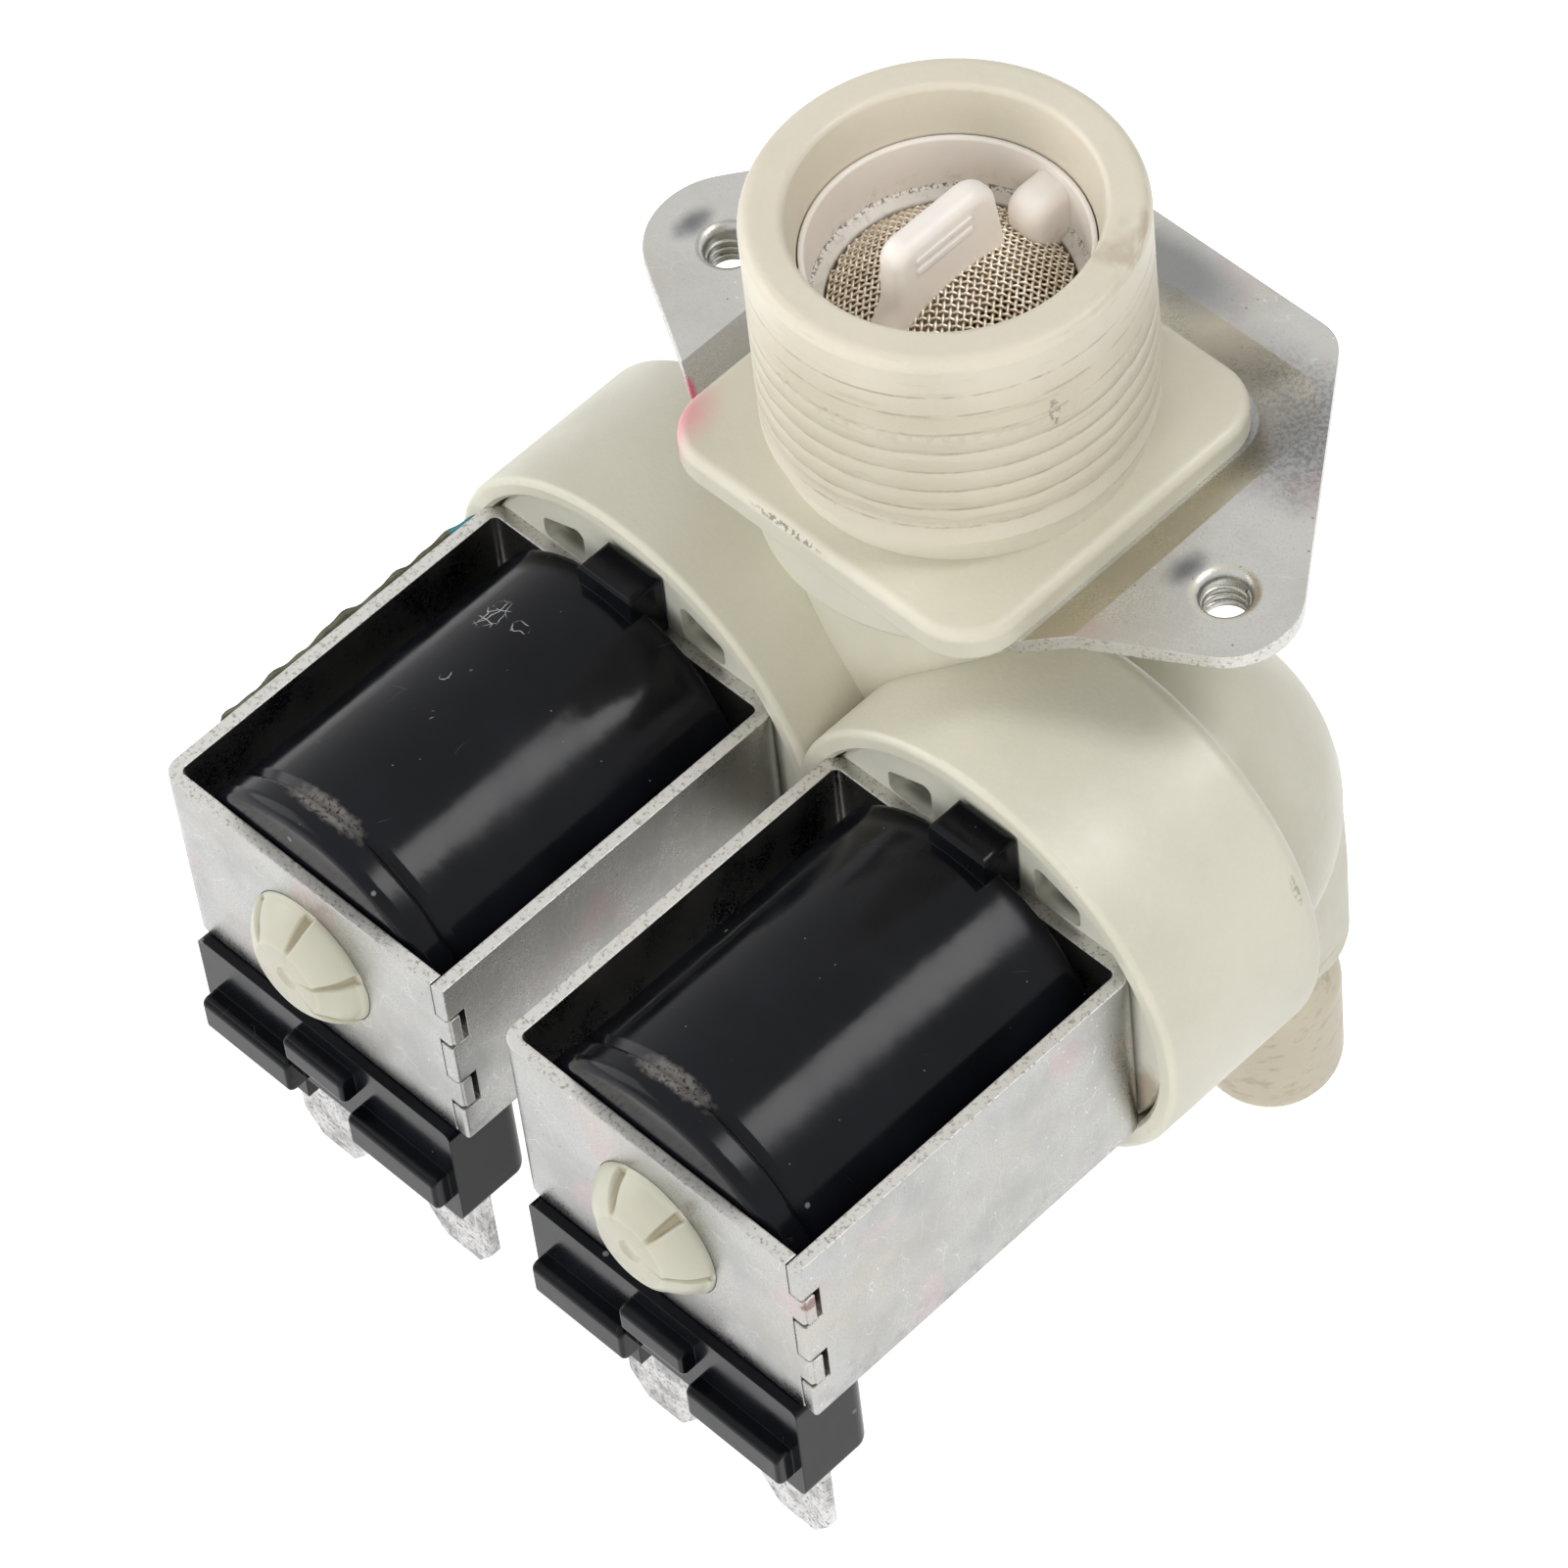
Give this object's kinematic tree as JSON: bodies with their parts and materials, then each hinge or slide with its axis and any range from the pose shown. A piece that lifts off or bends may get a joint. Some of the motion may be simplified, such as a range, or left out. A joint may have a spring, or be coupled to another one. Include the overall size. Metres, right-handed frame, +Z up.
{
  "type": "solenoid_valve",
  "caption": "Double solenoid water inlet valve of a washing machine, with threaded inlet, filter, bracket, coils and hose spigots",
  "frame": {"origin": "Centre between the bracket's two tapped holes, where their walls begin, 0.8 mm under the top plane of its ears; the inlet's axis is 0.8 mm in front of it.", "axes": "+Z up along the inlet's axis, the way the hose nut comes off; +X from the left coil to the right one, along the line of the bracket's holes; +Y from the coils' front plates back to the outlets."},
  "size_m": [0.0668, 0.0716, 0.0879],
  "materials": {
    "ivory_plastic": "satin moulded polyamide, slightly yellowed",
    "zinc_steel": "zinc plated sheet, dull with a pink and yellow sheen",
    "white_plastic": "white moulded plastic",
    "steel_mesh": "fine woven stainless wire",
    "black_plastic": "glossy black overmould, dusty and scratched",
    "bobbin_plastic": "natural glass filled plastic",
    "copper": "enamelled copper wire",
    "tinned_brass": "tinned, worn and speckled",
    "bush_steel": "plain turned steel",
    "spring_steel": "bright spring wire",
    "rubber": "black nitrile rubber"
  },
  "bodies": {
    "valve": {"valve_body": "ivory_plastic", "mounting_bracket": "zinc_steel", "inlet_filter": "white_plastic", "filter_mesh": "steel_mesh", "left_yoke": "zinc_steel", "left_coil_jacket": "black_plastic", "left_bobbin": "bobbin_plastic", "left_winding": "copper", "left_outer_terminal": "tinned_brass", "left_inner_terminal": "tinned_brass", "left_front_flux_bush": "bush_steel", "left_rear_flux_bush": "bush_steel", "left_cover_tube": "ivory_plastic", "left_plunger_spring": "spring_steel", "left_diaphragm": "rubber", "right_yoke": "zinc_steel", "right_coil_jacket": "black_plastic", "right_bobbin": "bobbin_plastic", "right_winding": "copper", "right_outer_terminal": "tinned_brass", "right_inner_terminal": "tinned_brass", "right_front_flux_bush": "bush_steel", "right_rear_flux_bush": "bush_steel", "right_cover_tube": "ivory_plastic", "right_plunger_spring": "spring_steel", "right_diaphragm": "rubber"},
    "left_plunger_body": {"left_plunger": "bush_steel", "left_plunger_seal": "rubber"},
    "left_insert_body": {"left_diaphragm_insert": "white_plastic"},
    "right_plunger_body": {"right_plunger": "bush_steel", "right_plunger_seal": "rubber"},
    "right_insert_body": {"right_diaphragm_insert": "white_plastic"}
  },
  "joints": [
    {"name": "left_plunger_lift", "type": "slide", "parent": "valve", "child": "left_plunger_body", "axis": [0, -1, 0], "range_m": [0, 0.0026], "stiffness_N_per_m": 60, "springref_m": -0.004, "deforming": ["left_plunger_spring"]},
    {"name": "left_diaphragm_lift", "type": "slide", "parent": "valve", "child": "left_insert_body", "axis": [0, -1, 0], "range_m": [0, 0.0018], "deforming": ["left_diaphragm"]},
    {"name": "right_plunger_lift", "type": "slide", "parent": "valve", "child": "right_plunger_body", "axis": [0, -1, 0], "range_m": [0, 0.0026], "stiffness_N_per_m": 60, "springref_m": -0.004, "deforming": ["right_plunger_spring"]},
    {"name": "right_diaphragm_lift", "type": "slide", "parent": "valve", "child": "right_insert_body", "axis": [0, -1, 0], "range_m": [0, 0.0018], "deforming": ["right_diaphragm"]}
  ],
  "couplings": [
    {"joint": "left_diaphragm_lift", "follows": "left_plunger_lift", "ratio": 0.69},
    {"joint": "right_diaphragm_lift", "follows": "right_plunger_lift", "ratio": 0.69}
  ]
}
